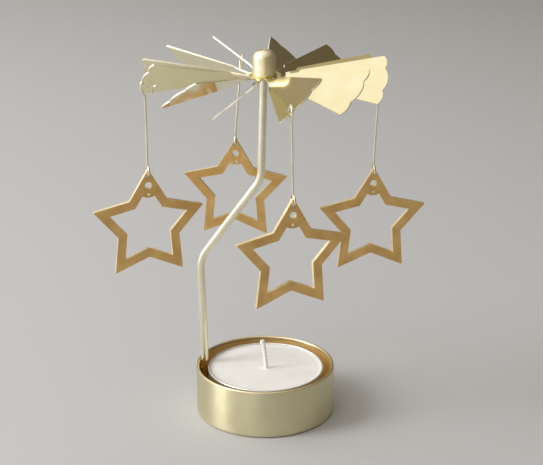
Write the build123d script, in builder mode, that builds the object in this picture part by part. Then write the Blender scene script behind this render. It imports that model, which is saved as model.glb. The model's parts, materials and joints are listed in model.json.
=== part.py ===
"""Rotary tealight carousel: a cup with a bent rod, and a blade rotor that carries four star pendants.

Millimetres, +Z up, origin at the centre of the cup's underside. The candle's warm air turns the
rotor, which stands on the rod's sharpened tip.
"""
import os
from math import cos, hypot, radians, sin, sqrt, tan

from build123d import *

# Cup
cup_diameter = 45.2
cup_height = 16.1
cup_wall = 0.7
cup_foot_radius = 1.1
rim_bead_diameter = 1.0

# Support rod, which leans a little in its own upright plane
rod_diameter = 2.5
rod_heading = 170
rod_bead_gap = 0.05
lower_bend_offset = 21.1
lower_bend_height = 51.7
upper_bend_height = 79.5
upper_bend_offset = 1.1
rod_bend_radius = 9.8
pivot_height = 119.3
needle_length = 6.0
needle_tip_diameter = 0.3
weld_height = 4.0
weld_width = 2.0
weld_below_bead = 0.8

# Tealight
tealight_diameter = 38.0
tealight_height = 15.0
tealight_wall = 0.3
tealight_foot_radius = 0.9
tealight_bead_diameter = 0.7
tealight_rod_gap = 0.2
tealight_side_shift = 1.25
wax_below_rim = 0.7
wick_diameter = 1.5
wick_above_wax = 9.8
wick_tip_offset = 0.9
wick_bend_radius = 3.0
wick_tab_diameter = 13.0
wick_tab_thickness = 0.3
wick_tube_height = 3.0
wick_tube_wall = 0.4

# Hub
hub_cap_diameter = 7.2
hub_cap_wall = 0.5
hub_cap_rounding = 2.6
pivot_cup_height = 3.0
pivot_cup_crown = 0.9
pivot_cup_half_angle = 30
pivot_play = 0.08
eyelet_bore = 4.4
eyelet_wall = 0.4
eyelet_brim_diameter = 7.8
eyelet_brim_thickness = 0.6
eyelet_collar_height = 1.5
eyelet_lip_diameter = 6.4
eyelet_lip_thickness = 0.35

# Rotor sheet
sheet_thickness = 0.5
sheet_below_pivot = 6.5
disc_diameter = 8.8
blade_count = 12
first_blade_heading = 17
blade_twists = [40, 39, 41, 41, 40, 39, 42, 34, 40, 43, 40, 43]
blade_rises = [-5, -5, -3, -1, -1, -1, 3, 1, 2, 2, 2, 1]
rotor_radius = 37.3
blade_half_angle = 13.5
neck_root_width = 1.7
neck_end_width = 3.3
neck_length = 6.2
shoulder_length = 0.7
neck_stations = 6
lobe_width_shares = [0.285, 0.458, 0.257]
lobe_rise_share = 0.16

# Pendants: hooked wires with a closed eye, and open stars
pendant_count = 4
blades_per_pendant = blade_count // pendant_count
wire_diameter = 0.7
hook_radius = 1.7
hook_hole_play = 0.8
hook_hole_inset = 2.8
hook_hole_offset = 3.85
hook_tail = 2.6
hook_shoulder = 1.3
hook_neck_drop = 3.5
hook_neck_offset = 0.6
hook_bend_radius = 1.6
hanger_drops = [25.8, 26.1, 25.5, 25.3]
hanger_leans = [0, 4.9, 0, 1.4]
hanger_foot_offsets = [-0.4, 0, 0.45, 0.1]
eye_play = 0.1
star_headings = [12, -5, 18, 22]
star_leans = [1.4, 0.8, 0.9, 1.7]
star_radius = 18.5
star_notch_radius = 10.3
star_points = 5
star_band = 2.8
star_thickness = 1.3
star_hole_diameter = 1.3
star_hole_inset = 2.3
star_tip_gap = 0.45
star_web_hole_diameter = 2.2
star_web_hole_inset = 5.3
star_web_radius = 4.0
star_pip_hole_diameter = 0.9
star_pip_hole_inset = 8.3

# Places worked out from the sizes above
cup_radius = cup_diameter / 2
cup_inside_radius = cup_radius - cup_wall
bead_radius = rim_bead_diameter / 2
rod_radius = rod_diameter / 2
wire_radius = wire_diameter / 2
rod_rim_reach = cup_radius - rim_bead_diameter - rod_radius - rod_bead_gap
rod_lean_share = (lower_bend_offset - rod_rim_reach) / (lower_bend_height - cup_height)
rod_foot_reach = rod_rim_reach - cup_height * rod_lean_share
rod_plane = Plane(
    origin=(0, 0, 0),
    x_dir=(cos(radians(rod_heading)), sin(radians(rod_heading)), 0),
    z_dir=(sin(radians(rod_heading)), -cos(radians(rod_heading)), 0),
)
tealight_radius = tealight_diameter / 2
tealight_rod_reach = tealight_radius + rod_radius + tealight_rod_gap
tealight_shift = max(0, sqrt(tealight_rod_reach**2 - tealight_side_shift**2) - rod_foot_reach)
tealight_centre = rod_plane.from_local_coords((-tealight_shift, 0, -tealight_side_shift))
wax_radius = tealight_radius - tealight_wall
wax_top = cup_wall + tealight_height - wax_below_rim
wick_radius = wick_diameter / 2
sheet_height = pivot_height - sheet_below_pivot
sheet_top = sheet_height + sheet_thickness / 2
sheet_bottom = sheet_height - sheet_thickness / 2
brim_top = sheet_top + eyelet_brim_thickness
sleeve_radius = eyelet_bore / 2 + eyelet_wall
cap_radius = hub_cap_diameter / 2
cap_inside_radius = cap_radius - hub_cap_wall
needle_tip_radius = needle_tip_diameter / 2
pivot_apex = pivot_height + needle_tip_radius / tan(radians(pivot_cup_half_angle)) + pivot_play
pivot_cup_top = pivot_apex + pivot_cup_crown
cap_top = pivot_cup_top + hub_cap_wall
crown_radius = hub_cap_rounding - hub_cap_wall
disc_radius = disc_diameter / 2
neck_root_reach = sqrt(disc_radius**2 - (neck_root_width / 2) ** 2)
hook_hole_place = (rotor_radius - hook_hole_inset - neck_root_reach, -hook_hole_offset)
eye_radius = (star_hole_inset + star_tip_gap + wire_radius) / 2
eye_hole_top = eye_radius - sqrt((eye_radius - wire_radius - eye_play) ** 2 - (star_thickness / 2) ** 2)
star_hole_drop = star_hole_diameter / 2 - eye_hole_top

os.makedirs("parts", exist_ok=True)


def save(piece, name):
    """Label a finished piece and write its STEP file."""
    piece.part.label = name
    export_step(piece.part, f"parts/{name}.step")


# Cup: a drawn sheet cup whose edge is rolled into a small bead
def make_cup():
    with BuildPart() as cup:
        with BuildSketch(Plane.XZ):
            with BuildLine():
                FilletPolyline(
                    (0, 0), (cup_radius, 0), (cup_radius, cup_height - bead_radius),
                    radius=cup_foot_radius,
                )
                Line((cup_radius, cup_height - bead_radius), (cup_inside_radius, cup_height - bead_radius))
                FilletPolyline(
                    (cup_inside_radius, cup_height - bead_radius), (cup_inside_radius, cup_wall),
                    (0, cup_wall), radius=max(cup_foot_radius - cup_wall, cup_wall / 2),
                )
                Line((0, cup_wall), (0, 0))
            make_face()
            with Locations((cup_radius - bead_radius, cup_height - bead_radius)):
                Circle(bead_radius)
        revolve(axis=Axis.Z)
    return cup


# Support rod: one bent wire, its foot on the cup's floor and its top ground to a needle
def make_support_rod():
    top_share = (pivot_height - needle_length - upper_bend_height) / (pivot_height - upper_bend_height)
    with BuildPart() as rod:
        with BuildLine(rod_plane) as route:
            FilletPolyline(
                (rod_foot_reach, 0),
                (lower_bend_offset, lower_bend_height),
                (upper_bend_offset, upper_bend_height),
                (upper_bend_offset * (1 - top_share), pivot_height - needle_length),
                radius=rod_bend_radius,
            )
        with BuildSketch(Plane(origin=route.line @ 0, z_dir=route.line % 0)):
            Circle(rod_radius)
        sweep()
        split(bisect_by=Plane.XY.offset(cup_wall), keep=Keep.TOP)
        needle_plane = Plane(origin=route.line @ 1, z_dir=Vector(0, 0, pivot_height) - route.line @ 1)
        with BuildSketch(needle_plane):
            Circle(rod_radius)
        with BuildSketch(needle_plane.offset((Vector(0, 0, pivot_height) - route.line @ 1).length)):
            Circle(needle_tip_radius)
        loft()
    return rod


# Rod weld: the bead of brazing metal that fills the gap between the rod and the cup's wall
def make_rod_weld(rod):
    weld_top = cup_height - rim_bead_diameter - weld_below_bead
    wall_reach = sqrt(cup_inside_radius**2 - (weld_width / 2) ** 2)
    weld_depth = cup_inside_radius - rod_rim_reach
    with BuildPart() as weld:
        with BuildSketch(Plane.XY.offset(weld_top - weld_height)):
            Circle(cup_inside_radius)
            with Locations(rod_plane.from_local_coords((wall_reach - weld_depth / 2, 0, 0))):
                Rectangle(2 * weld_depth, weld_width, rotation=rod_heading, mode=Mode.INTERSECT)
        extrude(amount=weld_height)
        inner_edges = weld.edges().filter_by(Axis.Z).sort_by_distance((0, 0, weld_top))[:2]
        chamfer(inner_edges, weld_depth / 4)
        add(rod.part, mode=Mode.SUBTRACT)
        rod_middle = rod_plane.from_local_coords((rod_rim_reach, 0, 0))
        split(bisect_by=Plane(origin=rod_middle, z_dir=rod_plane.x_dir), keep=Keep.TOP)
    return weld


# Tealight: an aluminium cup of wax with a tabbed wick, loose in the holder
def make_tealight_cup():
    bead = tealight_bead_diameter / 2
    rim = cup_wall + tealight_height - bead
    with BuildPart() as shell:
        with BuildSketch(Plane(origin=tealight_centre, x_dir=(1, 0, 0), z_dir=(0, -1, 0))):
            with BuildLine():
                FilletPolyline(
                    (0, cup_wall), (tealight_radius, cup_wall), (tealight_radius, rim),
                    radius=tealight_foot_radius,
                )
                Line((tealight_radius, rim), (wax_radius, rim))
                Polyline(
                    (wax_radius, rim), (wax_radius, cup_wall + tealight_wall + tealight_foot_radius / 2),
                    (wax_radius - tealight_foot_radius / 2, cup_wall + tealight_wall),
                    (0, cup_wall + tealight_wall), (0, cup_wall),
                )
            make_face()
            with Locations((tealight_radius - bead, rim)):
                Circle(bead)
        revolve(axis=Axis(tealight_centre, (0, 0, 1)))
    return shell


def make_wick_tab():
    with BuildPart() as tab:
        with BuildSketch(Plane(origin=tealight_centre).offset(cup_wall + tealight_wall)):
            Circle(wick_tab_diameter / 2)
        extrude(amount=wick_tab_thickness)
        with BuildSketch(Plane(origin=tealight_centre).offset(cup_wall + tealight_wall)):
            Circle(wick_radius + wick_tube_wall)
        extrude(amount=wick_tube_height)
        with BuildSketch(Plane(origin=tealight_centre).offset(cup_wall + tealight_wall)):
            Circle(wick_radius)
        extrude(amount=wick_tube_height, mode=Mode.SUBTRACT)
    return tab


def make_wick():
    foot = cup_wall + tealight_wall
    with BuildPart() as wick:
        with BuildLine(Plane(origin=tealight_centre, x_dir=(1, 0, 0), z_dir=(0, -1, 0))) as route:
            FilletPolyline(
                (0, foot), (0, wax_top + wick_bend_radius / 4), (-wick_tip_offset, wax_top + wick_above_wax),
                radius=wick_bend_radius,
            )
        with BuildSketch(Plane(origin=route.line @ 0, z_dir=route.line % 0)):
            Circle(wick_radius)
        sweep()
    return wick


def make_wax(shell, tab, wick):
    with BuildPart() as wax:
        with BuildSketch(Plane(origin=tealight_centre).offset(cup_wall + tealight_wall)):
            Circle(wax_radius)
        extrude(amount=wax_top - cup_wall - tealight_wall)
        for buried in (shell, tab, wick):
            add(buried.part, mode=Mode.SUBTRACT)
    return wax


# Hub: an eyelet clamps the sheet, a domed cap is pressed over its collar, and a bearing cup sits inside
def make_hub_eyelet():
    with BuildPart() as eyelet:
        with BuildSketch(Plane.XZ):
            with BuildLine():
                Polyline(
                    (eyelet_bore / 2, sheet_bottom - eyelet_lip_thickness),
                    (eyelet_lip_diameter / 2, sheet_bottom - eyelet_lip_thickness),
                    (eyelet_lip_diameter / 2, sheet_bottom), (sleeve_radius, sheet_bottom),
                    (sleeve_radius, sheet_top), (eyelet_brim_diameter / 2, sheet_top),
                    (eyelet_brim_diameter / 2, brim_top), (cap_inside_radius, brim_top),
                    (cap_inside_radius, brim_top + eyelet_collar_height),
                    (eyelet_bore / 2, brim_top + eyelet_collar_height),
                    close=True,
                )
            make_face()
        revolve(axis=Axis.Z)
        brim_edge = eyelet.edges().filter_by(GeomType.CIRCLE).filter_by(
            lambda edge: abs(edge.radius - eyelet_brim_diameter / 2) < eyelet_brim_thickness / 10
        ).sort_by(Axis.Z)[-1]
        fillet(brim_edge, eyelet_brim_thickness / 2)
    return eyelet


def make_hub_cap():
    with BuildPart() as cap:
        with BuildSketch(Plane.XZ):
            with BuildLine():
                FilletPolyline(
                    (cap_radius, brim_top), (cap_radius, cap_top), (0, cap_top), radius=hub_cap_rounding
                )
                Line((0, cap_top), (0, pivot_cup_top))
                FilletPolyline(
                    (0, pivot_cup_top), (cap_inside_radius, pivot_cup_top), (cap_inside_radius, brim_top),
                    radius=crown_radius,
                )
                Line((cap_inside_radius, brim_top), (cap_radius, brim_top))
            make_face()
        revolve(axis=Axis.Z)
    return cap


def make_pivot_cup():
    mouth_height = pivot_cup_top - pivot_cup_height
    mouth_radius = (pivot_apex - mouth_height) * tan(radians(pivot_cup_half_angle))
    with BuildPart() as bearing:
        with BuildSketch(Plane.XZ):
            with BuildLine():
                Polyline(
                    (0, pivot_cup_top), (0, pivot_apex), (mouth_radius, mouth_height),
                    (cap_inside_radius, mouth_height),
                )
                FilletPolyline(
                    (cap_inside_radius, mouth_height), (cap_inside_radius, pivot_cup_top),
                    (0, pivot_cup_top), radius=crown_radius,
                )
            make_face()
        revolve(axis=Axis.Z)
    return bearing


# Rotor sheet: a disc with twelve blades, cut from one sheet, each neck twisted and bent by hand
def blade_root(number):
    """The frame at a blade's root, x along the blade and z up from the unturned sheet."""
    heading = first_blade_heading + number * 360 / blade_count
    rise = blade_rises[number % len(blade_rises)]
    return Plane(Plane.XY.offset(sheet_height) * Rot(Z=heading) * Pos(X=neck_root_reach) * Rot(Y=-rise))


def blade_plane(number, share=1):
    """The blade's own plane after a share of its twist."""
    return Plane(blade_root(number) * Rot(X=blade_twists[number % len(blade_twists)] * share))


def neck_section(number, share):
    """The plane across the neck at a share of its length."""
    turned = blade_plane(number, share)
    return Plane(
        origin=turned.from_local_coords((neck_length * share, 0, 0)),
        x_dir=turned.y_dir, z_dir=turned.x_dir,
    )


def blade_point(reach, turn):
    """A point of the blade's outline, by its distance and angle from the rotor's axis."""
    return (reach * cos(radians(turn)) - neck_root_reach, reach * sin(radians(turn)))


def make_blade(number):
    shoulder = neck_length + shoulder_length
    shoulder_width = (shoulder + neck_root_reach) * tan(radians(blade_half_angle))
    lobe_start = blade_point(rotor_radius, -blade_half_angle)
    with BuildPart() as blade:
        for station in range(neck_stations):
            share = station / (neck_stations - 1)
            with BuildSketch(neck_section(number, share)):
                Rectangle(neck_root_width + (neck_end_width - neck_root_width) * share, sheet_thickness)
        loft(ruled=True)
        with BuildSketch(blade_plane(number)):
            with BuildLine():
                Polyline(
                    (neck_length, neck_end_width / 2), (neck_length, -neck_end_width / 2),
                    (shoulder, -shoulder_width), lobe_start,
                )
                turn = -blade_half_angle
                for width_share in lobe_width_shares:
                    span = 2 * blade_half_angle * width_share
                    lobe_end = blade_point(rotor_radius, turn + span)
                    chord = hypot(lobe_end[0] - lobe_start[0], lobe_end[1] - lobe_start[1])
                    crown_reach = rotor_radius * cos(radians(span / 2)) + lobe_rise_share * chord
                    ThreePointArc(lobe_start, blade_point(crown_reach, turn + span / 2), lobe_end)
                    lobe_start = lobe_end
                    turn += span
                Polyline(lobe_start, (shoulder, shoulder_width), (neck_length, neck_end_width / 2))
            make_face()
            if number % blades_per_pendant == 0:
                with Locations(hook_hole_place):
                    Circle(wire_radius + hook_hole_play, mode=Mode.SUBTRACT)
        extrude(amount=sheet_thickness / 2, both=True)
    return blade


def make_rotor_sheet():
    blades = [make_blade(number) for number in range(blade_count)]
    with BuildPart() as sheet:
        with BuildSketch(Plane.XY.offset(sheet_height)):
            Circle(disc_radius)
        extrude(amount=sheet_thickness / 2, both=True)
        for blade in blades:
            add(blade.part)
        with BuildSketch(Plane.XY.offset(sheet_height)):
            Circle(sleeve_radius)
        extrude(amount=sheet_thickness, both=True, mode=Mode.SUBTRACT)
    return sheet


# Pendants: the hook hangs in a blade's hole, and the star hangs from the eye at the wire's foot
def hook_centre(pendant):
    """The middle of the hook's bend, on the blade's strip between the hole and the edge."""
    hole = blade_plane(pendant * blades_per_pendant).from_local_coords((*hook_hole_place, 0))
    outward = Vector(hole.X, hole.Y, 0).normalized()
    return hole + outward * hook_radius, outward


def hanger_plane(pendant):
    """The plane that the wire lies in, leaning a little to one side about the way its hook faces."""
    centre, outward = hook_centre(pendant)
    lean = hanger_leans[pendant % len(hanger_leans)]
    upright = Plane(origin=centre, x_dir=outward, z_dir=outward.cross(Vector(0, 0, 1)))
    return upright.moved(Rotation(lean, 0, 0))


def hanger_foot(pendant):
    """The end of the wire's straight run in its own plane, a little outward or inward of the hook."""
    offset = hanger_foot_offsets[pendant % len(hanger_foot_offsets)]
    return (offset, -hanger_drops[pendant % len(hanger_drops)])


def eye_centre(pendant):
    wire_end = hanger_plane(pendant).from_local_coords((*hanger_foot(pendant), 0))
    return wire_end - Vector(0, 0, eye_radius)


def star_facing(pendant):
    turn = radians(star_headings[pendant % len(star_headings)])
    return Vector(cos(turn), sin(turn), 0), Vector(sin(turn), -cos(turn), 0)


def make_hanger(pendant):
    hook_plane = hanger_plane(pendant)
    across, _ = star_facing(pendant)
    with BuildPart() as hanger:
        with BuildLine(hook_plane) as route:
            Line((-hook_radius, -hook_tail), (-hook_radius, 0))
            ThreePointArc((-hook_radius, 0), (0, hook_radius), (hook_radius, 0))
            FilletPolyline(
                (hook_radius, 0), (hook_radius, -hook_shoulder), (hook_neck_offset, -hook_neck_drop),
                hanger_foot(pendant), radius=hook_bend_radius,
            )
        with BuildSketch(Plane(origin=route.line @ 0, z_dir=route.line % 0)):
            Circle(wire_radius)
        sweep()
        with Locations(Plane(origin=eye_centre(pendant), x_dir=(0, 0, 1), z_dir=across)):
            Torus(eye_radius, wire_radius)
    return hanger


def star_outline(radius_share=1):
    points = []
    for corner in range(2 * star_points):
        reach = (star_notch_radius if corner % 2 else star_radius) * radius_share
        turn = radians(90 + corner * 180 / star_points)
        points.append((reach * cos(turn), reach * sin(turn)))
    return points


def make_star(pendant):
    across, facing = star_facing(pendant)
    wire_foot = eye_centre(pendant) - Vector(0, 0, eye_radius)
    hole_centre = wire_foot - Vector(0, 0, star_hole_drop)
    plumb = Plane(origin=hole_centre, x_dir=across, z_dir=facing)
    leaned = plumb.moved(Rotation(0, 0, -star_leans[pendant % len(star_leans)]))
    with BuildPart() as star:
        with BuildSketch(leaned.moved(Pos(0, star_hole_inset - star_radius))):
            Polygon(*star_outline(), align=None)
            offset(amount=-star_band, kind=Kind.INTERSECTION, mode=Mode.SUBTRACT)
            with BuildSketch(mode=Mode.PRIVATE) as web:
                with Locations((0, star_radius - star_web_hole_inset)):
                    Circle(star_web_radius)
                Polygon(*star_outline(), align=None, mode=Mode.INTERSECT)
            add(web.sketch)
            for inset, diameter in (
                (star_hole_inset, star_hole_diameter),
                (star_web_hole_inset, star_web_hole_diameter),
                (star_pip_hole_inset, star_pip_hole_diameter),
            ):
                with Locations((0, star_radius - inset)):
                    Circle(diameter / 2, mode=Mode.SUBTRACT)
        extrude(amount=star_thickness / 2, both=True)
    return star


cup = make_cup()
save(cup, "cup")
support_rod = make_support_rod()
save(support_rod, "support_rod")
save(make_rod_weld(support_rod), "rod_weld")

tealight_cup = make_tealight_cup()
wick_tab = make_wick_tab()
wick = make_wick()
save(tealight_cup, "tealight_cup")
save(wick_tab, "wick_tab")
save(wick, "wick")
save(make_wax(tealight_cup, wick_tab, wick), "wax")

save(make_hub_eyelet(), "hub_eyelet")
save(make_hub_cap(), "hub_cap")
save(make_pivot_cup(), "pivot_cup")
save(make_rotor_sheet(), "rotor_sheet")

for pendant in range(pendant_count):
    save(make_hanger(pendant), f"hanger_{pendant + 1}")
    save(make_star(pendant), f"star_{pendant + 1}")
    centre, outward = hook_centre(pendant)
    foot = eye_centre(pendant) - Vector(0, 0, eye_radius)
    print(f"pendant {pendant + 1}: hook bend {centre}, swings about {Vector(0, 0, 1).cross(outward)}")
    print(f"pendant {pendant + 1}: star hangs at {foot}, swings about {star_facing(pendant)[1]}")
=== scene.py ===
"""Rotary tealight carousel in pale gold plate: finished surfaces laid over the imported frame."""

import json
from math import asin, atan, atan2, cos, hypot, pi, radians, sin, sqrt, tan, tau

import bmesh
import bpy
from mathutils import Matrix, Vector, noise


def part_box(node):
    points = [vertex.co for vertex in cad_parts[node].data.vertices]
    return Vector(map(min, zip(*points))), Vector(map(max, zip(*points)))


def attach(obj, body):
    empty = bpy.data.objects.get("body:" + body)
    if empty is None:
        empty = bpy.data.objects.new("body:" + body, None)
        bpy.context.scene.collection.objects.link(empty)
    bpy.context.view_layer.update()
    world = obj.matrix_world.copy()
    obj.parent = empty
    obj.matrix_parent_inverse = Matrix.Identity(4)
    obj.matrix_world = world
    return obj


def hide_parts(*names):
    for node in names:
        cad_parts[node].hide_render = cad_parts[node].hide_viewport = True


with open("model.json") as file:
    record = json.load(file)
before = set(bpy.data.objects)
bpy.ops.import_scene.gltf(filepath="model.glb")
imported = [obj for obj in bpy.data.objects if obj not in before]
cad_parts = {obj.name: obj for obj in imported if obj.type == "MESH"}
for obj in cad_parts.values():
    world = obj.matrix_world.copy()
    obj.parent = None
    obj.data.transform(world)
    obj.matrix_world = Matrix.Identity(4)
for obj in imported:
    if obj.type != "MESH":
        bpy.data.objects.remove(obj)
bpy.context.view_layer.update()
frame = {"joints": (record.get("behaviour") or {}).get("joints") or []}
MM = 0.001

# Camera: a long lens in front of the carousel and above it, tipped down so that the cup's rim
# shows as a flat oval and the rotor is seen a little from above.
camera_place = Vector((2.165, -450.154, 222.914)) * MM
camera_pitch = 0.344
camera_roll = -0.002
focal_length_pixels = 1500
picture_width_pixels = 543
sensor_width = 36

lens = bpy.data.cameras.new("camera")
lens.sensor_width = sensor_width
lens.lens = focal_length_pixels / picture_width_pixels * sensor_width
lens.clip_start = 10 * MM
camera = bpy.data.objects.new("camera", lens)
camera.matrix_world = (
    Matrix.Translation(camera_place)
    @ Matrix.Rotation(pi / 2 - camera_pitch, 4, "X")
    @ Matrix.Rotation(camera_roll, 4, "Z")
)
bpy.context.scene.collection.objects.link(camera)
bpy.context.scene.camera = camera
bpy.context.scene.view_settings.view_transform = "Standard"


# Floor and light: a pale matt tabletop under a wide overhead softbox, with a dimmer and warmer one
# to its right. A tall bright softbox on the left draws the upright bands on the cup, the cap and
# the rod, and three dim ones stand at the front left and behind. A glow of 1 is white in a mirror.
floor_colour = (0.52, 0.525, 0.53)
floor_roughness = 0.85
floor_shine = 0.15
floor_half_width = 4.0
room_colour = (0.13, 0.106, 0.076)
lamps = {
    "overhead": {
        "size": (1.65, 1.9), "glow": 0.97,
        "place": (-0.60, -0.25, 0.80), "aim": (-0.60, -0.25, 0.0),
    },
    "overhead right": {
        "size": (0.62, 1.5), "glow": 0.34, "tone": (1.0, 0.90, 0.68),
        "place": (0.53, -0.25, 0.80), "aim": (0.53, -0.25, 0.0),
    },
    "left": {
        "size": (0.64, 1.50), "glow": 6.9,
        "place": (-1.37, -0.33, 0.78), "aim": (0.0, 0.0, 0.06),
    },
    "front left": {
        "size": (0.45, 0.50), "glow": 1.1,
        "place": (-0.40, -0.80, 0.28), "aim": (0.0, 0.0, 0.06),
    },
    "back left": {
        "size": (0.70, 0.50), "glow": 1.1,
        "place": (-0.86, 0.50, 0.42), "aim": (0.0, 0.0, 0.06),
    },
    "back": {
        "size": (0.90, 0.50), "glow": 0.25, "tone": (1.0, 0.86, 0.64),
        "place": (-0.27, 1.05, 0.36), "aim": (0.0, 0.0, 0.10),
    },
}
tone_stops = (0.35, 0.65)
gloss_stops = (0.3, 0.7)


def object_coordinates(material):
    """The material's object coordinates, for its patterns to read."""
    return material.node_tree.nodes.new("ShaderNodeTexCoord").outputs["Object"]


def finish(name, colour, roughness, metallic=0.0):
    """A new material of one colour and gloss, and its shader, for patterns to be laid over."""
    material = bpy.data.materials.new(name)
    material.use_nodes = True
    shader = material.node_tree.nodes["Principled BSDF"]
    shader.inputs["Base Color"].default_value = (*colour, 1)
    shader.inputs["Roughness"].default_value = roughness
    shader.inputs["Metallic"].default_value = metallic
    return material, shader


def grain(material, size, stretch=(1, 1, 1), detail=3):
    """A soft noise whose marks are about as wide as the given size in millimetres."""
    nodes, links = material.node_tree.nodes, material.node_tree.links
    mapping = nodes.new("ShaderNodeMapping")
    mapping.inputs["Scale"].default_value = [1 / (size * MM * part) for part in stretch]
    links.new(object_coordinates(material), mapping.inputs["Vector"])
    texture = nodes.new("ShaderNodeTexNoise")
    texture.inputs["Scale"].default_value = 1
    texture.inputs["Detail"].default_value = detail
    links.new(mapping.outputs["Vector"], texture.inputs["Vector"])
    return texture.outputs["Fac"]


def mottle(material, shader, pattern, light, dark):
    """Lets the colour drift between two tones with a pattern."""
    nodes, links = material.node_tree.nodes, material.node_tree.links
    ramp = nodes.new("ShaderNodeValToRGB")
    for stop, place, tone in zip(ramp.color_ramp.elements, tone_stops, (dark, light)):
        stop.position = place
        stop.color = (*tone, 1)
    links.new(pattern, ramp.inputs["Fac"])
    links.new(ramp.outputs["Color"], shader.inputs["Base Color"])


def gloss(material, shader, pattern, smooth, rough):
    """Lets the roughness drift between two values with a pattern."""
    nodes, links = material.node_tree.nodes, material.node_tree.links
    spread = nodes.new("ShaderNodeMapRange")
    spread.inputs["From Min"].default_value = gloss_stops[0]
    spread.inputs["From Max"].default_value = gloss_stops[1]
    spread.inputs["To Min"].default_value = smooth
    spread.inputs["To Max"].default_value = rough
    links.new(pattern, spread.inputs["Value"])
    links.new(spread.outputs["Result"], shader.inputs["Roughness"])


def relief(material, shader, *layers):
    """Raises the surface with patterns, each given with its height in millimetres."""
    nodes, links = material.node_tree.nodes, material.node_tree.links
    below = None
    for pattern, height in layers:
        bump = nodes.new("ShaderNodeBump")
        bump.inputs["Strength"].default_value = 1
        bump.inputs["Distance"].default_value = height * MM
        links.new(pattern, bump.inputs["Height"])
        if below:
            links.new(below, bump.inputs["Normal"])
        below = bump.outputs["Normal"]
    links.new(below, shader.inputs["Normal"])


def patterned(
    name, colour, roughness, light, dark, clouds, smooth, rough, smears, ridges, metallic=1.0,
):
    """A finish whose tone, gloss and relief each follow a grain of their own.

    Clouds and smears hold what grain takes. Each ridge does too, and has a height in millimetres.
    """
    material, shader = finish(name, colour, roughness, metallic)
    mottle(material, shader, grain(material, **clouds), light, dark)
    gloss(material, shader, grain(material, **smears), smooth, rough)
    relief(material, shader, *[(grain(material, **marks), height) for marks, height in ridges])
    return material, shader


def made(name, bm, *materials, sharp_angle=radians(32)):
    """Turns a finished bmesh into an object with smooth faces and crisp corners."""
    mesh = bpy.data.meshes.new(name)
    bm.to_mesh(mesh)
    bm.free()
    for material in materials:
        mesh.materials.append(material)
    mesh.polygons.foreach_set("use_smooth", [True] * len(mesh.polygons))
    mesh.set_sharp_from_angle(angle=sharp_angle)
    piece = bpy.data.objects.new(name, mesh)
    bpy.context.scene.collection.objects.link(piece)
    return piece


tabletop, tabletop_shader = finish("tabletop", floor_colour, floor_roughness)
tabletop_shader.inputs["Specular IOR Level"].default_value = floor_shine
gloss(tabletop, tabletop_shader, grain(tabletop, size=40), smooth=0.8, rough=0.9)
bm = bmesh.new()
bmesh.ops.create_grid(bm, x_segments=1, y_segments=1, size=floor_half_width)
floor = made("floor", bm, tabletop)

room = bpy.data.worlds.new("room")
room.use_nodes = True
room.node_tree.nodes["Background"].inputs["Color"].default_value = (*room_colour, 1)
bpy.context.scene.world = room

for name, lamp in lamps.items():
    softbox = bpy.data.lights.new(name, "AREA")
    softbox.shape = "RECTANGLE"
    softbox.size, softbox.size_y = lamp["size"]
    softbox.color = lamp.get("tone", (1, 1, 1))
    softbox.energy = lamp["glow"] * pi * softbox.size * softbox.size_y
    holder = bpy.data.objects.new(name, softbox)
    holder.visible_camera = False
    place = Vector(lamp["place"])
    aim = (Vector(lamp["aim"]) - place).to_track_quat("-Z", "Y")
    holder.matrix_world = Matrix.Translation(place) @ aim.to_matrix().to_4x4()
    bpy.context.scene.collection.objects.link(holder)


# Cup: drawn brass sheet in pale gold plate, its wall polished round and round, its edge curled
# inwards into a bead, and its floor pressed up a little so that it stands on a ring. Its inside
# is duller than its outside, and its warmer, more orange gold is a painted glow of light
# bouncing round inside the cup.
cup_radius = 22.6
cup_height = 16.1
cup_wall = 0.7
cup_bead = 1.0
cup_bead_rounding = 0.49
cup_foot_rounding = 1.1
cup_base_rise = 0.3
cup_base_rise_ends = (15.8, 16.6)
lining_index = 1
bead_index = 2
face_margin = 0.05
round_steps = 6
merge_distance = 0.0005
plate_gold = (0.80, 0.74, 0.51)
plate_gold_dark = (0.76, 0.69, 0.45)
# The lining's warmer, more orange gold is a painted glow of light bouncing inside the cup.
lining_glow_gold = (1.0, 0.79, 0.38)
lining_glow_gold_dark = (0.96, 0.70, 0.28)
# The bead's gold, paler than the wall's, is a painted highlight on the curled edge.
bead_highlight_gold = (0.86, 0.77, 0.52)
bead_highlight_gold_dark = (0.82, 0.70, 0.43)


def rounded(bm, parts, rounding, steps, affect="VERTICES"):
    """Rounds off corners of a line, or edges, by a setback in millimetres."""
    bmesh.ops.bevel(
        bm, geom=parts, offset=rounding * MM, offset_type="OFFSET", segments=steps, profile=0.5,
        affect=affect, material=-1,
    )


def turned(corners, place=(0, 0), steps=160, closed=False, rings=None):
    """A turned shell, from corners of radius, height and rounding in millimetres about an axis."""
    bm = bmesh.new()
    line = [bm.verts.new((radius * MM, 0, height * MM)) for radius, height, _ in corners]
    runs = [bm.edges.new(pair) for pair in zip(line, line[1:] + line[:1] if closed else line[1:])]
    for run, cuts in (rings or {}).items():
        bmesh.ops.subdivide_edges(bm, edges=[runs[run]], cuts=cuts)
    bm.verts.ensure_lookup_table()
    for vertex, (_, _, rounding) in zip(bm.verts[:len(corners)], corners):
        if rounding:
            rounded(bm, [vertex], rounding, round_steps)
    bmesh.ops.spin(
        bm, geom=bm.verts[:] + bm.edges[:], cent=(0, 0, 0), axis=(0, 0, 1), angle=tau,
        steps=steps, use_merge=True, use_duplicate=False,
    )
    bmesh.ops.remove_doubles(bm, verts=bm.verts, dist=merge_distance * MM)
    bmesh.ops.recalc_face_normals(bm, faces=bm.faces)
    bmesh.ops.translate(bm, verts=bm.verts, vec=(place[0], place[1], 0))
    return bm


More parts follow.
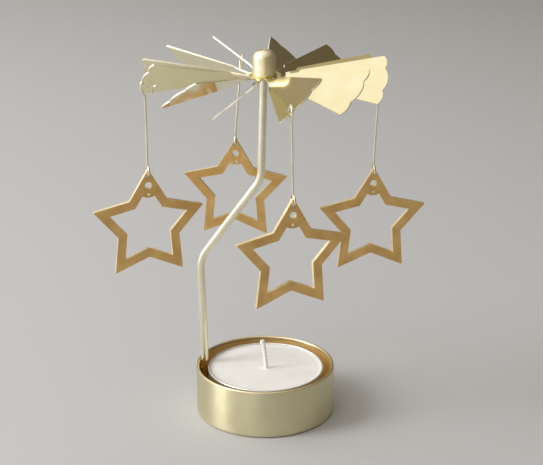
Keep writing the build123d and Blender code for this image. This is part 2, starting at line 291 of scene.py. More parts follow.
def plated(name, light, dark, smooth, rough, waviness=0.004, wave_size=9, rub=0.0004):
    """Bright gold plate, with soft clouds in its tone, faint rub marks and a slight waviness."""
    return patterned(
        name, light, smooth, light, dark, {"size": 7, "detail": 4},
        smooth, rough, {"size": 1.6, "detail": 6},
        [({"size": wave_size, "detail": 1}, waviness), ({"size": 0.35, "stretch": (1, 1, 4)}, rub)],
    )


def polished_round(material, shader, strength):
    """Draws the gloss out up and down, as rub marks that run round the upright axis do."""
    shader.inputs["Anisotropic"].default_value = strength
    shader.inputs["Anisotropic Rotation"].default_value = 0.25
    rub_marks = material.node_tree.nodes.new("ShaderNodeTangent")
    rub_marks.direction_type = "RADIAL"
    rub_marks.axis = "Z"
    material.node_tree.links.new(rub_marks.outputs["Tangent"], shader.inputs["Tangent"])


cup_plate, cup_shader = plated(
    "cup_plate", plate_gold, plate_gold_dark, smooth=0.37, rough=0.42, waviness=0.002,
)
polished_round(cup_plate, cup_shader, strength=0.80)
# Inside of the cup: its warm orange gold is a painted glow of bounced light.
cup_lining, _ = plated("cup_lining", lining_glow_gold, lining_glow_gold_dark, smooth=0.58, rough=0.70)
# Curled edge: its paler gold is a painted highlight.
cup_bead_plate, _ = plated(
    "cup_bead_plate", bead_highlight_gold, bead_highlight_gold_dark, smooth=0.30, rough=0.38, rub=0.0001,
)

bm = turned([
    (0, cup_base_rise, 0), (cup_base_rise_ends[0], cup_base_rise, 0.5),
    (cup_base_rise_ends[1], 0, 0.4), (cup_radius, 0, cup_foot_rounding),
    (cup_radius, cup_height, cup_bead_rounding),
    (cup_radius - cup_bead, cup_height, cup_bead_rounding),
    (cup_radius - cup_bead, cup_height - cup_bead, 0.3),
    (cup_radius - cup_wall, cup_height - cup_bead, 0.08),
    (cup_radius - cup_wall, cup_wall, 0.6), (0, cup_wall, 0),
])
for face in bm.faces:
    middle = face.calc_center_median() / MM
    inside = hypot(middle.x, middle.y) < cup_radius - cup_wall + face_margin
    if inside and cup_wall / 2 < middle.z < cup_height - cup_bead:
        face.material_index = lining_index
    elif middle.z > cup_height - cup_bead / 2:
        face.material_index = bead_index
cup = made("cup_body", bm, cup_plate, cup_lining, cup_bead_plate)
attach(cup, "stand")
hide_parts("cup")


# Support rod: one length of brass wire in the same plate, bent twice in one upright plane and
# ground to a needle at its top. It stands on the cup's floor against the rolled edge. Its foot
# inside the cup is painted orange, a painted reflection of the warm glow inside the cup.
rod_radius = 1.25
rod_heading = radians(170)
rod_points = [(19.954, 0.7), (21.1, 51.7), (1.1, 79.5), (0.166, 113.3)]
rod_bend_radius = 9.8
rod_foot_rounding = 0.15
needle_shoulder_share = 0.02
needle_shoulder_scale = 0.985
needle_tip_radius = 0.15
needle_tip_rounding = 0.06
pivot_height = 119.3


def circle(bm, segments, radius, stance):
    """Draws a circle about the stance's own Z axis, and gives its edges."""
    drawn = set(bm.edges)
    bmesh.ops.create_circle(bm, segments=segments, radius=radius, matrix=stance)
    return [edge for edge in bm.edges if edge not in drawn]


def bent_bar(points, radius, bend_radius, sides=40, bend_steps=14):
    """A round bar along straight runs in metres, with a round bend at each corner.

    Gives the bmesh, and the edges of its first and last rings.
    """
    bm = bmesh.new()
    heading = (points[1] - points[0]).normalized()
    stance = Matrix.Translation(points[0]) @ heading.to_track_quat("Z", "Y").to_matrix().to_4x4()
    first = last = circle(bm, sides, radius, stance)
    reached = points[0]
    for corner, after in zip(points[1:], points[2:] + [None]):
        if after is None:
            last = drawn_out(bm, last, corner - reached)
            break
        turned_heading = (after - corner).normalized()
        turn = heading.angle(turned_heading)
        setback = bend_radius * tan(turn / 2)
        last = drawn_out(bm, last, corner - heading * setback - reached)
        axis = heading.cross(turned_heading).normalized()
        centre = corner - heading * setback + axis.cross(heading) * bend_radius
        last = bent_round(bm, last, centre, axis, turn, bend_steps)
        heading = turned_heading
        reached = corner + heading * setback
    return bm, first, last


def drawn_out(bm, ring, step, scale=1.0):
    """Lengthens a bar straight on from a ring of edges, and gives the new ring."""
    grown = bmesh.ops.extrude_edge_only(bm, edges=ring)["geom"]
    verts = [part for part in grown if isinstance(part, bmesh.types.BMVert)]
    bmesh.ops.translate(bm, verts=verts, vec=step)
    if scale != 1:
        middle = sum((vert.co for vert in verts), Vector()) / len(verts)
        bmesh.ops.scale(bm, verts=verts, vec=(scale,) * 3, space=Matrix.Translation(-middle))
    return [part for part in grown if isinstance(part, bmesh.types.BMEdge)]


def bent_round(bm, ring, centre, axis, turn, steps):
    """Bends a bar on from a ring of edges about a centre, and gives the new ring."""
    bent = bmesh.ops.spin(
        bm, geom=ring, cent=centre, axis=axis, angle=turn, steps=steps,
        use_merge=False, use_duplicate=False,
    )
    return [part for part in bent["geom_last"] if isinstance(part, bmesh.types.BMEdge)]


def cut_end(bm, ring, rounding):
    """Closes a bar's end with a flat face whose edge is slightly rounded."""
    bmesh.ops.edgeloop_fill(bm, edges=ring)
    rounded(bm, ring, rounding, steps=3, affect="EDGES")


rod_gold = (0.96, 0.91, 0.72)
rod_gold_dark = (0.92, 0.86, 0.65)
# Painted reflection: the rod's foot inside the cup takes the cup's warm glow, fading out above the
# rim.
cup_glow_gold = (0.98, 0.66, 0.22)
glow_full_height = 15.5
glow_faded_height = 17.5


def painted_glow_below(material, shader, colour, full, faded):
    """Warms a finish towards a colour, fully below one height and not at all above the other."""
    nodes, links = material.node_tree.nodes, material.node_tree.links
    height = nodes.new("ShaderNodeSeparateXYZ")
    links.new(object_coordinates(material), height.inputs["Vector"])
    share = nodes.new("ShaderNodeMapRange")
    share.inputs["From Min"].default_value = full * MM
    share.inputs["From Max"].default_value = faded * MM
    share.inputs["To Min"].default_value = 1
    share.inputs["To Max"].default_value = 0
    links.new(height.outputs["Z"], share.inputs["Value"])
    blend = nodes.new("ShaderNodeMixRGB")
    blend.inputs["Color2"].default_value = (*colour, 1)
    links.new(share.outputs["Result"], blend.inputs["Fac"])
    links.new(shader.inputs["Base Color"].links[0].from_socket, blend.inputs["Color1"])
    links.new(blend.outputs["Color"], shader.inputs["Base Color"])


rod_plate, rod_shader = plated(
    "rod_plate", rod_gold, rod_gold_dark, smooth=0.36, rough=0.42, waviness=0.001, rub=0.00005,
)
# Paints the warm glow of the cup's inside onto the rod's foot, as a painted reflection.
painted_glow_below(rod_plate, rod_shader, cup_glow_gold, glow_full_height, glow_faded_height)
route = [
    Vector((reach * cos(rod_heading), reach * sin(rod_heading), height)) * MM
    for reach, height in rod_points
]
bm, rod_foot, rod_top = bent_bar(route, rod_radius * MM, rod_bend_radius * MM)
needle_step = Vector((0, 0, pivot_height * MM)) - route[-1]
tip_scale = needle_tip_radius / rod_radius / needle_shoulder_scale
rod_top = drawn_out(bm, rod_top, needle_step * needle_shoulder_share, needle_shoulder_scale)
rod_top = drawn_out(bm, rod_top, needle_step * (1 - needle_shoulder_share), tip_scale)
cut_end(bm, rod_top, needle_tip_rounding)
cut_end(bm, rod_foot, rod_foot_rounding)
bmesh.ops.recalc_face_normals(bm, faces=bm.faces)
support_rod = made("rod_body", bm, rod_plate)
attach(support_rod, "stand")
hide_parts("support_rod")


# Rod weld: a bead of brazing metal run down between the rod and the cup's wall. It is dull and
# lumpy, and darker than the plate.
weld_reach = 21.28
weld_middle = 12.3
weld_half_sizes = (0.58, 1.3, 2.0)
weld_lump = 0.12
weld_lump_pitch = 1.4

braze, _ = patterned(
    "braze_metal", colour=(0.62, 0.46, 0.22), roughness=0.38,
    light=(0.70, 0.54, 0.28), dark=(0.42, 0.29, 0.13), clouds={"size": 0.8},
    smooth=0.28, rough=0.5, smears={"size": 0.5}, ridges=[({"size": 0.3}, 0.03)],
)
bm = bmesh.new()
bmesh.ops.create_uvsphere(bm, u_segments=40, v_segments=24, radius=1)
bmesh.ops.scale(bm, verts=bm.verts, vec=[size * MM for size in weld_half_sizes])
for vertex in bm.verts:
    vertex.co *= 1 - weld_lump * abs(noise.noise(vertex.co / MM * weld_lump_pitch))
bmesh.ops.translate(bm, verts=bm.verts, vec=(weld_reach * MM, 0, weld_middle * MM))
bmesh.ops.rotate(bm, verts=bm.verts, cent=(0, 0, 0), matrix=Matrix.Rotation(rod_heading, 3, "Z"))
bmesh.ops.recalc_face_normals(bm, faces=bm.faces)
rod_weld = made("weld_bead", bm, braze)
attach(rod_weld, "stand")
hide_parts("rod_weld")


# Tealight shell: thin bright aluminium drawn into a cup, with shallow pleats up its wall and a
# rolled rim that is never quite even. It stands loose in the holder.
shell_radius = 19.0
shell_wall = 0.3
shell_foot = 0.7
shell_top = 15.7
shell_bead = 0.7
shell_bead_rounding = 0.34
shell_foot_rounding = 0.9
shell_base = shell_foot + 0.25
shell_base_ends = (14.5, 15.2)
shell_floor = shell_foot + 0.55
pleat_count = 72
pleat_depth = 0.04
pleat_margin = 0.1
rim_share = 0.9
rim_wander = 0.05
rim_waves = (5, 3)
rim_wave_start = 0.7
low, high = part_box("tealight_cup")
tealight_place = ((low[0] + high[0]) / 2, (low[1] + high[1]) / 2)


def across_tealight(point):
    """A point's distance in millimetres from the tealight's axis, and its angle about it."""
    x, y = point.x - tealight_place[0], point.y - tealight_place[1]
    return hypot(x, y) / MM, atan2(y, x)


foil, _ = patterned(
    "aluminium_foil", colour=(0.90, 0.90, 0.89), roughness=0.34,
    light=(0.93, 0.93, 0.92), dark=(0.84, 0.84, 0.83), clouds={"size": 3},
    smooth=0.28, rough=0.42, smears={"size": 0.9, "detail": 5},
    ridges=[({"size": 2.2}, 0.01), ({"size": 0.3, "stretch": (1, 1, 5)}, 0.001)],
)
bm = turned([
    (0, shell_base, 0), (shell_base_ends[0], shell_base, 0.4),
    (shell_base_ends[1], shell_foot, 0.3), (shell_radius, shell_foot, shell_foot_rounding),
    (shell_radius, shell_top, shell_bead_rounding),
    (shell_radius - shell_bead, shell_top, shell_bead_rounding),
    (shell_radius - shell_bead, shell_top - shell_bead, 0.2),
    (shell_radius - shell_wall, shell_top - shell_bead, 0.05),
    (shell_radius - shell_wall, shell_floor, 0.5), (0, shell_floor, 0),
], tealight_place, steps=288, rings={3: 12})
for vertex in bm.verts:
    reach, angle = across_tealight(vertex.co)
    up_wall = (vertex.co.z / MM - shell_foot) / (shell_top - shell_foot)
    if reach > shell_radius - shell_bead - pleat_margin:
        pleat = pleat_depth * (cos(angle * pleat_count) - 1) * sin(pi * min(1, max(0, up_wall)))
        vertex.co += Vector((cos(angle), sin(angle), 0)) * pleat * MM
        if up_wall > rim_share:
            wave = sin(angle * rim_waves[0] + rim_wave_start) * cos(angle * rim_waves[1])
            vertex.co.z -= rim_wander * MM * (1 + wave) / 2
shell = made("tealight_shell", bm, foil)
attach(shell, "tealight")
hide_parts("tealight_cup")


# Wax: white paraffin poured into the shell. It climbs a little at the shell, sinks softly towards
# the wick, and has a faintly frosted skin.
wax_radius = 18.68
wax_level = 15.0
wax_foot = 1.25
wax_foot_bevel = (0.5, 0.6)
wax_skin_depth = 0.5
wax_climb = 0.45
wax_climb_width = 1.6
wax_at_wick = 0.12
wax_at_wick_start = 0.6
wax_at_wick_width = 1.2
wax_sink = 0.12
wax_sink_margin = 1
wax_drop = 0.05
wax_unevenness = 0.05
wax_unevenness_pitch = 0.22

paraffin, paraffin_shader = patterned(
    "paraffin", colour=(0.93, 0.925, 0.905), roughness=0.42,
    light=(0.95, 0.945, 0.93), dark=(0.90, 0.895, 0.87), clouds={"size": 6, "detail": 4},
    smooth=0.34, rough=0.52, smears={"size": 2.5, "detail": 5},
    ridges=[({"size": 3.5}, 0.03), ({"size": 0.4}, 0.006)], metallic=0.0,
)
paraffin_shader.inputs["Subsurface Weight"].default_value = 0.35
paraffin_shader.inputs["Subsurface Radius"].default_value = (1.0, 0.9, 0.75)
paraffin_shader.inputs["Subsurface Scale"].default_value = 3 * MM
bm = turned([
    (0, wax_foot, 0), (wax_radius - wax_foot_bevel[0], wax_foot, 0.3),
    (wax_radius, wax_foot + wax_foot_bevel[1], 0.3),
    (wax_radius, wax_level + wax_climb, 0.05), (0, wax_level, 0),
], tealight_place, steps=144, rings={3: 40})
for vertex in bm.verts:
    reach, _ = across_tealight(vertex.co)
    if vertex.co.z > (wax_level - wax_skin_depth) * MM:
        at_shell = wax_climb * max(0, 1 - (wax_radius - reach) / wax_climb_width) ** 2
        past_wick = max(0, reach - wax_at_wick_start) / wax_at_wick_width
        at_wick = wax_at_wick * max(0, 1 - past_wick) ** 2
        outwards = min(1, reach / (wax_radius - wax_sink_margin))
        sunk = wax_sink * (0.5 + 0.5 * cos(pi * outwards)) + wax_drop
        unevenness = wax_unevenness * noise.noise(vertex.co / MM * wax_unevenness_pitch)
        vertex.co.z = (wax_level + at_shell + at_wick - sunk + unevenness) * MM
wax = made("wax_fill", bm, paraffin)
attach(wax, "tealight")
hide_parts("wax")


# Wick: three strands of cotton twisted together and dipped in wax. It leans to the left above
# the wax and ends in a small thickened tip.
wick_foot = 1.0
wick_top = 24.8
wick_lean = 1.15
wick_lean_start = 15.9
strand_radius = 0.46
strand_reach = 0.27
strand_count = 3
wick_steps = 78
turns_of_twist = 6.5
tip_swell = 0.45
tip_swell_depth = 0.7
tip_swell_width = 0.9
tip_pinch = 0.55

cotton, cotton_shader = patterned(
    "waxed_cotton", colour=(0.95, 0.94, 0.91), roughness=0.6,
    light=(0.96, 0.955, 0.93), dark=(0.91, 0.90, 0.86), clouds={"size": 1.2},
    smooth=0.45, rough=0.7, smears={"size": 0.8},
    ridges=[({"size": 0.12, "stretch": (1, 1, 6)}, 0.03)], metallic=0.0,
)
cotton_shader.inputs["Subsurface Weight"].default_value = 0.2
cotton_shader.inputs["Subsurface Scale"].default_value = 0.6 * MM


def wick_middle(height):
    """The wick's middle line at a height, in metres."""
    share = min(1, max(0, (height - wick_lean_start) / (wick_top - wick_lean_start)))
    lean = wick_lean * (share + share**2) / 2
    return Vector((tealight_place[0] - lean * MM, tealight_place[1], height * MM))


bm = bmesh.new()
for strand in range(strand_count):
    for step in range(wick_steps + 1):
        share = step / wick_steps
        height = wick_foot + (wick_top - wick_foot) * share
        angle = tau * (strand / strand_count + turns_of_twist * share)
        offset = Vector((cos(angle), sin(angle), 0)) * strand_reach * MM
        place = wick_middle(height) + offset
        from_swell = abs(height - wick_top + tip_swell_depth) / tip_swell_width
        swell = 1 + tip_swell * max(0, 1 - from_swell)
        if step == 0:
            ring = foot_ring = circle(bm, 14, strand_radius * MM, Matrix.Translation(place))
        else:
            ring = drawn_out(bm, ring, place - last_place, swell / last_swell)
        last_place, last_swell = place, swell
    ring = drawn_out(bm, ring, (0, 0, 0), tip_pinch)
    for end in (ring, foot_ring):
        bmesh.ops.edgeloop_fill(bm, edges=end)
bmesh.ops.recalc_face_normals(bm, faces=bm.faces)
wick = made("wick_cord", bm, cotton)
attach(wick, "tealight")
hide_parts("wick")


# Wick tab: a tinned steel disc pressed up into a tube that grips the wick's foot. It lies on the
# shell's floor under the wax.
tab_radius = 6.5
tab_thickness = 0.3
tab_tube_outer = 1.15
tab_tube_inner = 0.75
tab_tube_height = 3.0
tab_foot = 1.0

tinned, _ = patterned(
    "tinned_steel", colour=(0.62, 0.62, 0.60), roughness=0.32,
    light=(0.68, 0.68, 0.66), dark=(0.50, 0.50, 0.49), clouds={"size": 1.5},
    smooth=0.24, rough=0.42, smears={"size": 0.6}, ridges=[({"size": 0.5}, 0.01)],
)
wick_tab = made("tab_disc", turned([
    (tab_tube_inner, tab_foot, 0), (tab_radius, tab_foot, 0.1),
    (tab_radius, tab_foot + tab_thickness, 0.1), (tab_tube_outer, tab_foot + tab_thickness, 0.4),
    (tab_tube_outer, tab_foot + tab_tube_height, 0.12),
    (tab_tube_inner, tab_foot + tab_tube_height, 0.1),
], tealight_place, steps=72, closed=True), tinned)
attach(wick_tab, "tealight")
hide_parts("wick_tab")


# Hub: a domed brass cap pressed over the collar of an eyelet that clamps the rotor sheet, with a
# steel bearing cup inside that turns on the needle. All but the bearing are bright gold. The
# cap's paler, creamier gold is a painted highlight.
sheet_middle = 112.8
sheet_half = 0.25
eyelet_bore = 2.2
eyelet_sleeve = 2.6
eyelet_lip = 3.2
eyelet_foot = sheet_middle - 0.6
collar_height = 1.5
brim_top = sheet_middle + sheet_half + 0.6
brim_radius = 3.9
cap_top = 121.04
cap_radius = 3.6
cap_wall = 0.5
cap_rounding = 2.6
bearing_apex = 119.64
bearing_mouth = 117.54
bearing_half_angle = radians(30)
# The cap's paler, creamier gold is a painted highlight.
hub_highlight_gold = (0.97, 0.91, 0.70)
hub_highlight_gold_dark = (0.92, 0.83, 0.58)
brim_gold = (0.96, 0.82, 0.40)
brim_gold_dark = (0.92, 0.75, 0.33)

hub_plate, hub_shader = plated(
    "hub_plate", hub_highlight_gold, hub_highlight_gold_dark, smooth=0.42, rough=0.50, rub=0.0002,
)
polished_round(hub_plate, hub_shader, strength=0.4)
hub_cap = made("hub_dome", turned([
    (0, cap_top, 0), (cap_radius, cap_top, cap_rounding), (cap_radius, brim_top, 0.14),
    (cap_radius - cap_wall, brim_top, 0.08),
    (cap_radius - cap_wall, cap_top - cap_wall, cap_rounding - cap_wall),
    (0, cap_top - cap_wall, 0),
], steps=128), hub_plate)
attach(hub_cap, "rotor")
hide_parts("hub_cap")

brim_plate, _ = plated("brim_plate", brim_gold, brim_gold_dark, smooth=0.22, rough=0.32)
hub_eyelet = made("hub_brim", turned([
    (eyelet_bore, eyelet_foot, 0.08), (eyelet_lip, eyelet_foot, 0.16),
    (eyelet_lip, sheet_middle - sheet_half, 0.12), (eyelet_sleeve, sheet_middle - sheet_half, 0),
    (eyelet_sleeve, sheet_middle + sheet_half, 0), (brim_radius, sheet_middle + sheet_half, 0.18),
    (brim_radius, brim_top, 0.3), (cap_radius - cap_wall, brim_top, 0),
    (cap_radius - cap_wall, brim_top + collar_height, 0.08),
    (eyelet_bore, brim_top + collar_height, 0.08),
], steps=128, closed=True), brim_plate)
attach(hub_eyelet, "rotor")
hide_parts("hub_eyelet")

turned_steel, _ = patterned(
    "turned_steel", colour=(0.58, 0.58, 0.57), roughness=0.25,
    light=(0.62, 0.62, 0.61), dark=(0.50, 0.50, 0.50), clouds={"size": 1.0},
    smooth=0.2, rough=0.36, smears={"size": 0.3, "stretch": (6, 6, 1)},
    ridges=[({"size": 0.12, "stretch": (9, 9, 1)}, 0.002)],
)
pivot_cup = made("bearing_cup", turned([
    (0, bearing_apex, 0),
    ((bearing_apex - bearing_mouth) * tan(bearing_half_angle), bearing_mouth, 0.08),
    (cap_radius - cap_wall, bearing_mouth, 0.1),
    (cap_radius - cap_wall, cap_top - cap_wall, cap_rounding - cap_wall),
    (0, cap_top - cap_wall, 0),
], steps=96), turned_steel)
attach(pivot_cup, "rotor")
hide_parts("pivot_cup")


# Rotor sheet: one piece of mirror-rolled brass, cut to a small disc with twelve blades whose ends
# have three lobes. Each neck is twisted by hand, and the sheared edges are duller. Their paler
# tone is partly the bare cut metal and partly a painted highlight along the edges.
blade_count = 12
first_blade = 17
blade_twists = [40, 39, 41, 41, 40, 39, 42, 34, 40, 43, 40, 43]
blade_rises = [-5, -5, -3, -1, -1, -1, 3, 1, 2, 2, 2, 1]
blades_per_pendant = 3
disc_radius = 4.4
disc_bore = 2.6
rotor_radius = 37.3
half_angle = radians(13.5)
neck_length = 6.2
neck_steps = 14
neck_root_half = 0.85
neck_end_half = 1.65
shoulder_length = 0.7
lobe_width_shares = [0.285, 0.458, 0.257]
lobe_rise_share = 0.16
hook_hole_radius = 1.15
hook_hole_inset = 2.8
hook_hole_side = 3.85
blade_corner = 0.09
sheet_merge_distance = 0.001
arc_steps = 9
sheet_gold = (0.90, 0.83, 0.54)
sheet_gold_dark = (0.87, 0.78, 0.47)
neck_root_reach = sqrt(disc_radius**2 - neck_root_half**2)

sheet_mirror, _ = plated(
    "sheet_mirror", sheet_gold, sheet_gold_dark, smooth=0.06, rough=0.12,
    waviness=0.03, wave_size=14,
)
# Cut edges: their pale cream tone is partly bare metal and partly a painted highlight.
sheared_edge_and_highlight, _ = patterned(
    "sheared_edge_and_highlight", colour=(0.95, 0.91, 0.78), roughness=0.45,
    light=(0.96, 0.93, 0.82), dark=(0.90, 0.84, 0.66), clouds={"size": 1.5},
    smooth=0.52, rough=0.64, smears={"size": 0.4}, ridges=[({"size": 0.2}, 0.002)],
)


def round_point(reach, angle):
    """A point of a blade's outline from its distance and angle about the rotor's axis."""
    return Vector((reach * cos(angle) - neck_root_reach, reach * sin(angle), 0)) * MM


def arc_through(bm, start, end, rise):
    """Draws an arc of edges that bulges by the rise, from a vertex to a new one that it gives."""
    chord = end - start.co
    side = Vector((chord.y, -chord.x, 0)).normalized()
    radius = (chord.length**2 / 4 + rise**2) / (2 * rise)
    centre = start.co + chord / 2 + side * (rise - radius)
    drawn = bmesh.ops.spin(
        bm, geom=[start], cent=centre, axis=(0, 0, 1), angle=4 * atan(2 * rise / chord.length),
        steps=arc_steps, use_merge=False, use_duplicate=False,
    )
    return [part for part in drawn["geom_last"] if isinstance(part, bmesh.types.BMVert)][0]


def joined(bm, first, second):
    """The edge between two vertices, drawn if it isn't there yet."""
    return bm.edges.get((first, second)) or bm.edges.new((first, second))


def as_sheet(piece, thickness, edge_rounding):
    """Gives a flat outline its thickness, its own finish on the cut edges, and soft corners."""
    wall = piece.modifiers.new("thickness", "SOLIDIFY")
    wall.thickness = thickness * MM
    wall.offset = 0
    wall.use_even_offset = True
    wall.material_offset_rim = 1
    corners = piece.modifiers.new("soft_corners", "BEVEL")
    corners.width = edge_rounding * MM
    corners.segments = 2
    corners.limit_method = "ANGLE"
    corners.angle_limit = radians(50)
    corners.harden_normals = True
    corners.material = 1


def add_blade(bm, number, root_edge):
    """Draws one blade out of the disc's edge, then rises and twists it about its own length."""
    before = set(bm.verts)
    heading = radians(first_blade + number * 360 / blade_count)
    to_root = Matrix.Rotation(heading, 4, "Z") @ Matrix.Translation((neck_root_reach * MM, 0, 0))
    across = to_root.to_3x3() @ Vector((0, 1, 0))
    along = to_root.to_3x3() @ Vector((1, 0, 0))
    ring = [root_edge]
    for step in range(neck_steps):
        wider = neck_root_half + (neck_end_half - neck_root_half) * (step + 1) / neck_steps
        narrow = neck_root_half + (neck_end_half - neck_root_half) * step / neck_steps
        ring = drawn_out(bm, ring, along * neck_length / neck_steps * MM, wider / narrow)
    right, left = sorted(ring[0].verts, key=lambda vertex: vertex.co.dot(across))
    flat = to_root.inverted()
    for vertex in set(bm.verts) - before:
        vertex.co = flat @ vertex.co
    shoulder = neck_length + shoulder_length
    shoulder_half = (shoulder + neck_root_reach) * tan(half_angle)
    chain = [right, bm.verts.new(Vector((shoulder, -shoulder_half, 0)) * MM)]
    chain.append(bm.verts.new(round_point(rotor_radius, -half_angle)))
    edges = [ring[0]] + [joined(bm, *pair) for pair in zip(chain, chain[1:])]
    outline = set(bm.edges)
    angle = -half_angle
    corner = chain[-1]
    for share in lobe_width_shares:
        angle += 2 * half_angle * share
        end = round_point(rotor_radius, angle)
        corner = arc_through(bm, corner, end, lobe_rise_share * (end - corner.co).length)
    edges += [edge for edge in bm.edges if edge not in outline]
    top_shoulder = bm.verts.new(Vector((shoulder, shoulder_half, 0)) * MM)
    edges += [joined(bm, corner, top_shoulder), joined(bm, top_shoulder, left)]
    if number % blades_per_pendant == 0:
        hole_reach = rotor_radius - hook_hole_inset - neck_root_reach
        hole_stance = Matrix.Translation(Vector((hole_reach, -hook_hole_side, 0)) * MM)
        edges += circle(bm, 32, hook_hole_radius * MM, hole_stance)
    bmesh.ops.triangle_fill(bm, edges=edges, use_beauty=True, normal=(0, 0, 1))
    rise = Matrix.Rotation(radians(-blade_rises[number]), 4, "Y")
    for vertex in set(bm.verts) - before:
        twist = radians(blade_twists[number]) * min(1, vertex.co.x / MM / neck_length)
        vertex.co = to_root @ rise @ Matrix.Rotation(twist, 4, "X") @ vertex.co


bm = bmesh.new()
half_root_angle = asin(neck_root_half / disc_radius)
rims = []
for radius in (disc_radius, disc_bore):
    rim = bmesh.ops.create_circle(bm, segments=2 * blade_count, radius=radius * MM)["verts"]
    for place, vertex in enumerate(rim):
        heading = radians(first_blade + place // 2 * 360 / blade_count)
        angle = heading + half_root_angle * (1 if place % 2 else -1)
        vertex.co = Vector((cos(angle), sin(angle), 0)) * radius * MM
    rims.append(rim)
rim_edges = bm.edges[:]
root_edges = [bm.edges.get(pair) for pair in zip(rims[0][::2], rims[0][1::2])]
bmesh.ops.bridge_loops(bm, edges=rim_edges)
for blade, root_edge in enumerate(root_edges):
    add_blade(bm, blade, root_edge)
bmesh.ops.remove_doubles(bm, verts=bm.verts, dist=sheet_merge_distance * MM)
bmesh.ops.recalc_face_normals(bm, faces=bm.faces)
bmesh.ops.translate(bm, verts=bm.verts, vec=(0, 0, sheet_middle * MM))
rotor_sheet = made("rotor_blades", bm, sheet_mirror, sheared_edge_and_highlight)
as_sheet(rotor_sheet, 2 * sheet_half, blade_corner)
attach(rotor_sheet, "rotor")
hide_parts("rotor_sheet")


# Hooked wires: drawn brass wire, its top bent over into an open hook that hangs in a blade's
# hole, and its foot bent round into a closed eye that holds the star.
wire_radius = 0.35
wire_sides = 20
wire_end_rounding = 0.07
wire_bend_steps = 8
hook_radius = 1.7
hook_steps = 24
hook_tail = 2.6
hook_shoulder = 1.3
hook_neck = (0.6, 3.5)
hook_bend = 1.6
wire_sways = [0, 4.9, 0, 1.4]
eye_radius = 1.55
eye_turn = radians(318)
eye_steps = 48
throat_radius = 0.9
throat_bend = 3.0
throat_length = 1.0
throat_steps = 10
wire_gold = (0.90, 0.86, 0.72)
wire_gold_dark = (0.82, 0.76, 0.58)
pendant_count = 4
star_turns = [12, -5, 18, 22]
joints = {joint["name"]: Vector(joint["pos_m"]) for joint in frame["joints"] if "pos_m" in joint}

drawn_wire, _ = plated(
    "drawn_wire", wire_gold, wire_gold_dark, smooth=0.30, rough=0.42, waviness=0.001, rub=0.0001,
)


def facing(pendant):
    """The star's own directions, across its face and out of it."""
    turn = radians(star_turns[pendant])
    return Vector((cos(turn), sin(turn), 0)), Vector((sin(turn), -cos(turn), 0))


def bent_on(bm, ring, reached, corner, arriving, leaving, bend):
    """Draws a wire straight to a corner and bends it there, and gives its new ring and place."""
    turn = arriving.angle(leaving)
    setback = bend * tan(turn / 2)
    ring = drawn_out(bm, ring, corner - arriving * setback - reached)
    axis = arriving.cross(leaving).normalized()
    centre = corner - arriving * setback + axis.cross(arriving) * bend
    ring = bent_round(bm, ring, centre, axis, turn, wire_bend_steps)
    return ring, corner + leaving * setback


for pendant in range(pendant_count):
    hook_place = joints[f"hanger_{pendant + 1}_swing"]
    star_hang = joints[f"star_{pendant + 1}_swing"]
    outward = Vector((hook_place.x, hook_place.y, 0)).normalized()
    upright = Vector((0, 0, 1))
    sway = radians(wire_sways[pendant])
    along = upright * cos(sway) + outward.cross(upright) * sin(sway)
    _, out = facing(pendant)
    eye_middle = star_hang + upright * eye_radius * MM
    throat_height = sqrt((eye_radius + throat_radius) ** 2 - throat_radius**2)
    throat_turn = atan2(throat_height, throat_radius)
    throat_top = eye_middle + upright * throat_height * MM
    bend = hook_bend * MM
    hook_start = hook_place - outward * hook_radius * MM
    tail_end = hook_start - along * hook_tail * MM
    bm, tail_ring, ring = bent_bar([tail_end, hook_start], wire_radius * MM, bend, wire_sides)
    ring = bent_round(bm, ring, hook_place, along.cross(outward), pi, hook_steps)
    shoulder_top = hook_place + outward * hook_radius * MM
    shoulder_foot = shoulder_top - along * hook_shoulder * MM
    neck = hook_place + (outward * hook_neck[0] - along * hook_neck[1]) * MM
    throat_start = throat_top + upright * throat_length * MM
    inward_run = (neck - shoulder_foot).normalized()
    long_run = (throat_start - neck).normalized()
    ring, reached = bent_on(bm, ring, shoulder_top, shoulder_foot, -along, inward_run, bend)
    ring, reached = bent_on(bm, ring, reached, neck, inward_run, long_run, bend)
    ring, reached = bent_on(bm, ring, reached, throat_start, long_run, -upright, throat_bend * MM)
    ring = drawn_out(bm, ring, throat_top - reached)
    eye_axis = out.cross(upright)
    throat_centre = throat_top - out * throat_radius * MM
    ring = bent_round(bm, ring, throat_centre, eye_axis, -throat_turn, throat_steps)
    ring = bent_round(bm, ring, eye_middle, eye_axis, eye_turn, eye_steps)
    for end in (ring, tail_ring):
        cut_end(bm, end, wire_end_rounding)
    bmesh.ops.recalc_face_normals(bm, faces=bm.faces)
    hanger = made(f"hook_wire_{pendant + 1}", bm, drawn_wire)
    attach(hanger, f"hanger_{pendant + 1}")
    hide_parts(f"hanger_{pendant + 1}")


# Stars: open five-pointed frames stamped from brass sheet in warm satin gold, with paler edges
# whose pale tone is partly the bare cut metal and partly a painted highlight.
# The top point keeps a round web with three holes, and the uppermost takes the wire's eye.
star_radius = 18.5
star_notch = 10.3
star_inner_tip = 13.03
star_inner_notch = 7.253
star_thickness = 1.3
star_tip_rounding = 0.35
star_edge_rounding = 0.12
star_leans = [1.4, 0.8, 0.9, 1.7]
hang_height = 16.2
web_corner = (1.97, 9.719)
web_rise = 0.519
star_holes = [(hang_height, 0.65), (13.2, 1.1), (10.2, 0.45)]
satin_gold_light = (0.82, 0.54, 0.21)
satin_gold_dark = (0.68, 0.42, 0.15)

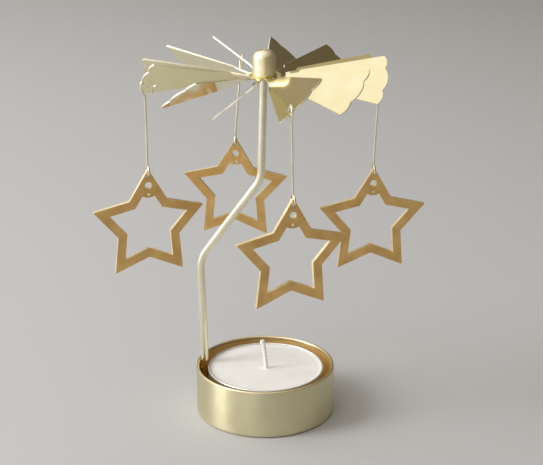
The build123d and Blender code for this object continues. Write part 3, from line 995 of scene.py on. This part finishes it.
satin, _ = patterned(
    "satin_gold", colour=satin_gold_light, roughness=0.36,
    light=satin_gold_light, dark=satin_gold_dark, clouds={"size": 5, "detail": 4},
    smooth=0.30, rough=0.42, smears={"size": 1.2, "detail": 5},
    ridges=[({"size": 6, "detail": 1}, 0.01), ({"size": 0.25, "stretch": (8, 8, 1)}, 0.0015)],
)
# Cut edges: their pale tone is partly bare metal and partly a painted highlight.
star_edge, _ = patterned(
    "star_edge", colour=(0.95, 0.84, 0.60), roughness=0.45,
    light=(0.96, 0.87, 0.64), dark=(0.90, 0.76, 0.48), clouds={"size": 2},
    smooth=0.52, rough=0.64, smears={"size": 0.4}, ridges=[({"size": 0.2}, 0.003)],
)


def star_corners(bm, tip, notch, places):
    """Draws corners of a star's outline, tips and notches in turn, counted from its top point."""
    corners = []
    for place in places:
        radius = notch if place % 2 else tip
        angle = pi / 2 + place * pi / 5
        corner = Vector((radius * cos(angle), radius * sin(angle), 0)) * MM
        corners.append(bm.verts.new(corner))
    return corners


for pendant in range(pendant_count):
    bm = bmesh.new()
    outer = star_corners(bm, star_radius, star_notch, range(10))
    for pair in zip(outer, outer[1:] + outer[:1]):
        joined(bm, *pair)
    for tip in outer[::2]:
        rounded(bm, [tip], star_tip_rounding, steps=4)
    inner = star_corners(bm, star_inner_tip, star_inner_notch, range(1, 10))
    for pair in zip(inner, inner[1:]):
        joined(bm, *pair)
    web_left = bm.verts.new(Vector((-web_corner[0], web_corner[1], 0)) * MM)
    joined(bm, inner[0], web_left)
    web_end = Vector((*web_corner, 0)) * MM
    web_right = arc_through(bm, web_left, web_end, web_rise * MM)
    joined(bm, web_right, inner[-1])
    for height, radius in star_holes:
        circle(bm, 28, radius * MM, Matrix.Translation(Vector((0, height, 0)) * MM))
    bmesh.ops.triangle_fill(bm, edges=bm.edges[:], use_beauty=True, normal=(0, 0, 1))
    across, out = facing(pendant)
    lean = Matrix.Rotation(radians(star_leans[pendant]), 3, -out)
    stance = Matrix((lean @ across, lean @ Vector((0, 0, 1)), out)).transposed()
    middle = joints[f"star_{pendant + 1}_swing"] - stance @ Vector((0, hang_height * MM, 0))
    bmesh.ops.transform(bm, verts=bm.verts, matrix=Matrix.Translation(middle) @ stance.to_4x4())
    star = made(f"star_frame_{pendant + 1}", bm, satin, star_edge)
    as_sheet(star, star_thickness, star_edge_rounding)
    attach(star, f"star_{pendant + 1}")
    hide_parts(f"star_{pendant + 1}")
